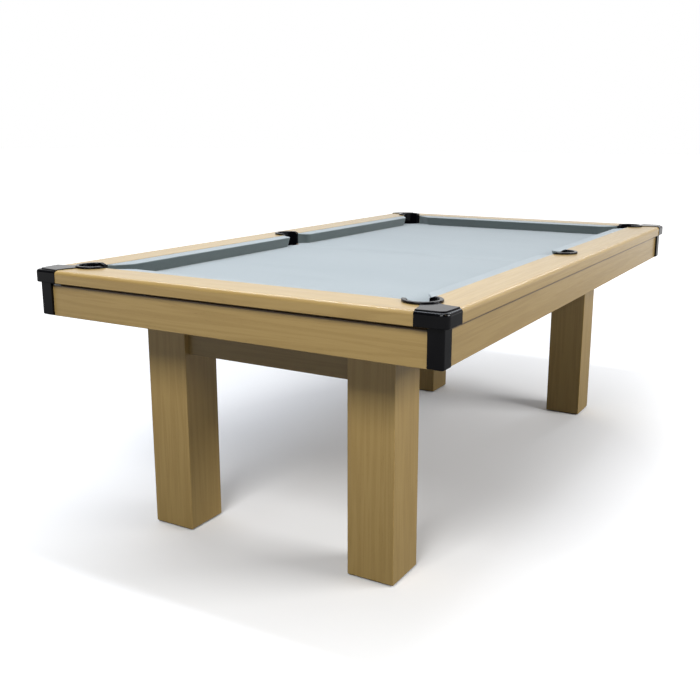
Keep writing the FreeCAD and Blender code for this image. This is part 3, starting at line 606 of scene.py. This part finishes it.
def make_floor():
    """Pale floor that brightens into the backdrop far from the table.

    For bounced light it is darker, and brightens only farther off, so that it doesn't light the table
    too much from below."""
    n = Nodes("studio_floor")
    cloud = n.noise(n.coordinates((0.6, 0.6, 0.6)), 1.0, 2.0)
    pale = n.mix(cloud, grey(0.90), grey(0.94))
    seen = n.add("LightPath")
    n.put(n.mix(seen.outputs["Is Camera Ray"], grey(0.16), pale), n.shader.inputs["Base Color"])
    n.put(0.9, n.shader.inputs["Roughness"])
    # painted light: the floor glows, to the camera more and more from 0.9 m off the table, and to all rays
    # from 2.5 m
    away = n.add("VectorMath", operation="LENGTH")
    n.put(n.coordinates(), away.inputs[0])
    n.put(grey(1.0), n.shader.inputs["Emission Color"])
    near = n.math("MULTIPLY", n.fit(away.outputs["Value"], 0.9, 5.0), seen.outputs["Is Camera Ray"])
    glow = n.math("MAXIMUM", near, n.fit(away.outputs["Value"], 2.5, 9.0, 0.0, 0.85))
    n.put(glow, n.shader.inputs["Emission Strength"])
    size = 60.0
    corners = [(-size, -size, 0), (size, -size, 0), (size, size, 0), (-size, size, 0)]
    floor = new_piece("floor", corners, [(0, 1, 2, 3)])
    floor.data.materials.append(n.material)


COOL = (0.92, 0.97, 1.06)           # tint of the lamps overhead


def area_light(name, power, size, spot, target, tint=(1.0, 1.0, 1.0)):
    data = bpy.data.lights.new(name, "AREA")
    data.shape = "RECTANGLE"
    data.size, data.size_y = size
    data.energy = power
    data.color = tint
    light = bpy.data.objects.new(name, data)
    bpy.context.scene.collection.objects.link(light)
    light.location = spot
    light.rotation_euler = (Vector(target) - Vector(spot)).to_track_quat("-Z", "Y").to_euler()


def make_world():
    """A white backdrop, whose light comes mostly from one end of the studio."""
    world = bpy.data.worlds.new("studio")
    bpy.context.scene.world = world
    world.use_nodes = True
    tree = world.node_tree
    white = tree.nodes["Background"]
    white.inputs["Strength"].default_value = 1.0
    white.inputs["Color"].default_value = grey(1.0)
    place = tree.nodes.new("ShaderNodeTexCoord")
    toward = tree.nodes.new("ShaderNodeVectorMath")
    toward.operation = "DOT_PRODUCT"
    toward.inputs[1].default_value = BACKDROP_WAY
    tree.links.new(place.outputs["Generated"], toward.inputs[0])
    ramp = tree.nodes.new("ShaderNodeMapRange")
    for key, number in zip(("From Min", "From Max", "To Min", "To Max"), (0.25, 1.0, 0.10, 1.15)):
        ramp.inputs[key].default_value = number
    tree.links.new(toward.outputs["Value"], ramp.inputs["Value"])
    room = tree.nodes.new("ShaderNodeBackground")
    tree.links.new(ramp.outputs["Result"], room.inputs["Strength"])
    seen = tree.nodes.new("ShaderNodeLightPath")
    blend = tree.nodes.new("ShaderNodeMixShader")
    tree.links.new(seen.outputs["Is Camera Ray"], blend.inputs[0])
    tree.links.new(room.outputs[0], blend.inputs[1])
    tree.links.new(white.outputs[0], blend.inputs[2])
    tree.links.new(blend.outputs[0], tree.nodes["World Output"].inputs["Surface"])


def make_light():
    make_world()
    area_light("top_softbox", 36.0, (4.5, 3.5), (0.8, 0.7, 3.4), (0.0, 0.0, 0.8), COOL)
    area_light("ceiling_strip", 60.0, (0.25, 3.5), (-0.6, 0.8, 3.3), (-0.6, 0.8, 0.8), COOL)
    area_light("far_strip", 22.0, (0.3, 3.0), (5.0, -0.9, 4.0), (0.0, 0.0, 0.8), COOL)
    area_light("front_softbox", 176.0, (3.0, 1.6), (0.8, -4.2, 2.9), (0.0, 0.0, 0.6))
    area_light("end_softbox", 130.0, (2.0, 1.4), (-4.0, -0.6, 3.5), (0.0, 0.0, 0.6))
    bpy.context.scene.view_settings.view_transform = "Standard"


def make_camera():
    """Camera at standing height off the front left corner."""
    yaw, pitch, roll = radians(29.5748), radians(-12.812), radians(0.2217)
    data = bpy.data.cameras.new("camera")
    data.sensor_width = 36.0
    data.lens = 45.04
    data.shift_x, data.shift_y = -0.0203, -0.0209
    camera = bpy.data.objects.new("camera", data)
    bpy.context.scene.collection.objects.link(camera)
    camera.location = (-2.8700, -1.4228, 1.1957)
    look = Vector((cos(pitch) * cos(yaw), cos(pitch) * sin(yaw), sin(pitch)))
    level = look.to_track_quat("-Z", "Y")
    camera.rotation_euler = (level @ Quaternion((0.0, 0.0, 1.0), roll)).to_euler()
    bpy.context.scene.camera = camera


make_camera()
make_light()
make_floor()
dress_wood()
dress_black()
dress_steel()
make_cushions()
bed_cloth, bed_cloth_area = make_bed_cloth()
